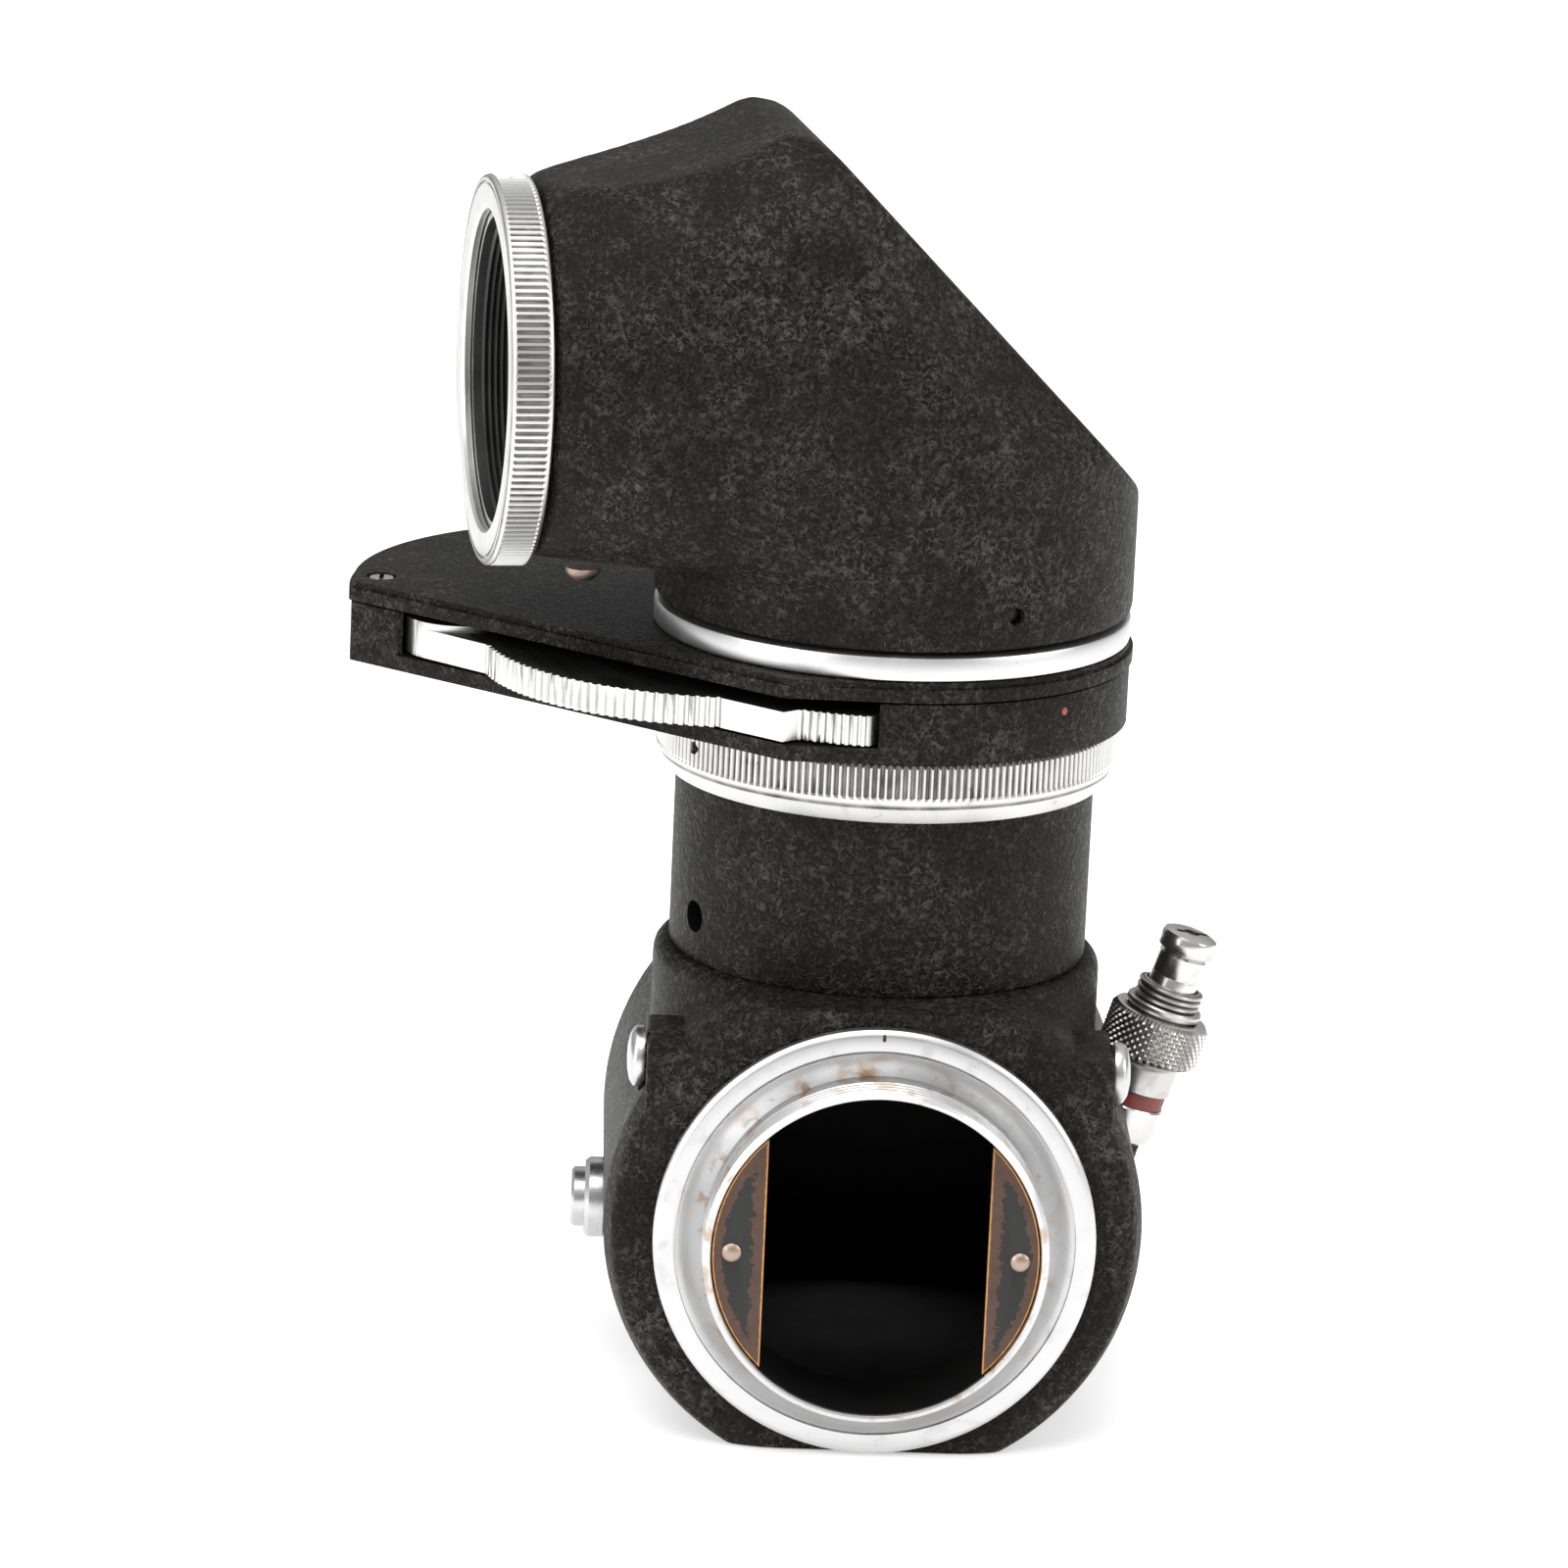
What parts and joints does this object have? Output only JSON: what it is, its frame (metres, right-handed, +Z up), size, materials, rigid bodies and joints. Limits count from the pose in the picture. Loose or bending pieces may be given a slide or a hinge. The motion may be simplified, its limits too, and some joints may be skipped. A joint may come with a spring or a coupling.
{
  "type": "mirror reflex housing",
  "caption": "Mirror reflex housing for a screw-mount camera, with a turning right-angle prism magnifier, a swing-in lens arm and a plunger release.",
  "frame": {"origin": "centre of the flat base, under the axis of the finder tube", "axes": "+Z up along the finder tube, -Y towards the camera mount, +Y towards the lens mount, -X towards the eyepiece"},
  "size_m": [0.1021, 0.0863, 0.1503],
  "materials": {
    "enamel": "black wrinkle enamel on cast alloy, worn lighter on the high spots",
    "chrome": "satin chrome, lightly scuffed, brass showing at worn edges",
    "steel": "turned bright metal with grime in the cuts",
    "black_metal": "matt black anti-reflection finish",
    "worn_brass": "brass with black paint worn through to brown at the edges",
    "glass": "polished optical glass",
    "mirror": "front-silvered",
    "red_paint": "dull red index paint",
    "felt": "black felt"
  },
  "bodies": {
    "housing": {"mirror_box_casting": "enamel", "mirror_stop_pad_left": "felt", "mirror_stop_pad_right": "felt", "mirror_bearing_screw_left": "chrome", "mirror_bearing_screw_right": "chrome", "lens_mount_ring": "chrome", "lens_mount_screw_1": "steel", "lens_mount_screw_2": "steel", "lens_mount_screw_3": "steel", "lens_mount_screw_4": "steel", "mirror_return_spring": "steel", "release_base_sleeve": "chrome", "red_index_ring": "red_paint", "release_threaded_sleeve": "steel", "release_spring": "steel", "button_collar": "chrome", "screen_tube": "enamel", "ground_glass": "glass", "screen_retaining_ring": "black_metal"},
    "camera_mount": {"camera_mount_ring": "chrome", "mount_lock_ring": "black_metal", "mask_left": "worn_brass", "mask_rivet_left": "worn_brass", "mask_right": "worn_brass", "mask_rivet_right": "worn_brass"},
    "mirror": {"mirror_frame": "black_metal", "mirror_glass": "mirror", "mirror_shaft": "steel", "mirror_crank": "steel"},
    "release_lock": {"release_lock_ring": "steel"},
    "release": {"release_plunger": "steel"},
    "catch_button": {"mirror_catch_button": "chrome"},
    "clamp_ring": {"finder_clamp_ring": "chrome"},
    "finder_base": {"swing_housing_tray": "enamel", "swing_housing_lid": "enamel", "lid_screw_1": "steel", "lid_screw_2": "steel", "lid_screw_3": "steel", "arm_pivot_pin": "steel", "index_dot": "red_paint", "bearing_ring": "chrome"},
    "swing_arm": {"swing_arm": "steel", "arm_lens_ring": "black_metal", "arm_lens": "glass"},
    "prism_head": {"prism_housing": "enamel", "head_set_screw": "steel", "prism_cradle": "black_metal", "roof_prism": "glass", "prism_clamp": "black_metal", "neck_screw": "steel"},
    "eyepiece_cell": {"eyepiece_barrel": "black_metal", "eye_lens": "glass"},
    "focus_ring": {"eyepiece_focus_ring": "chrome"}
  },
  "joints": [
    {"name": "camera_mount_turn", "type": "hinge", "parent": "housing", "child": "camera_mount", "pos_m": [0, -0.032, 0.0253], "axis": [0, 1, 0], "range_deg": [0, 90]},
    {"name": "mirror_swing", "type": "hinge", "parent": "housing", "child": "mirror", "pos_m": [0, -0.0212, 0.0432], "axis": [1, 0, 0], "range_deg": [0, 45], "stiffness_Nm_per_rad": 0.004, "springref_deg": -11.46},
    {"name": "plunger_slide", "type": "slide", "parent": "housing", "child": "release", "axis": [-0.2924, 0, -0.9563], "range_m": [0, 0.0038]},
    {"name": "lock_ring_turn", "type": "hinge", "parent": "housing", "child": "release_lock", "pos_m": [0.03292, 0.002, 0.04137], "axis": [0.2924, 0, 0.9563], "range_deg": [0, 90]},
    {"name": "button_push", "type": "slide", "parent": "housing", "child": "catch_button", "axis": [1, 0, 0], "range_m": [0, 0.0012], "stiffness_N_per_m": 300, "springref_m": -0.001},
    {"name": "clamp_turn", "type": "hinge", "parent": "housing", "child": "clamp_ring", "pos_m": [0, 0, 0.076], "axis": [0, 0, 1], "range_deg": [0, 30]},
    {"name": "finder_turn", "type": "hinge", "parent": "housing", "child": "finder_base", "pos_m": [0, 0, 0.08], "axis": [0, 0, 1], "range_deg": [-90, 90]},
    {"name": "arm_swing", "type": "hinge", "parent": "finder_base", "child": "swing_arm", "pos_m": [-0.0496, 0.0107, 0.084], "axis": [0, 0, 1], "range_deg": [-45, 0]},
    {"name": "head_turn", "type": "hinge", "parent": "finder_base", "child": "prism_head", "pos_m": [0, 0, 0.0924], "axis": [0, 0, 1], "range_deg": [-90, 90]},
    {"name": "focus_turn", "type": "hinge", "parent": "prism_head", "child": "focus_ring", "pos_m": [-0.04504, -0.00713, 0.1189], "axis": [-0.9877, -0.1564, 0], "range_deg": [0, 150]},
    {"name": "cell_slide", "type": "slide", "parent": "prism_head", "child": "eyepiece_cell", "axis": [0.9877, 0.1564, 0], "range_m": [0, 0.002]}
  ],
  "couplings": [
    {"joint": "plunger_slide", "follows": "mirror_swing", "m_per_rad": 0.004838},
    {"joint": "cell_slide", "follows": "focus_turn", "m_per_rad": 0.00076394}
  ]
}
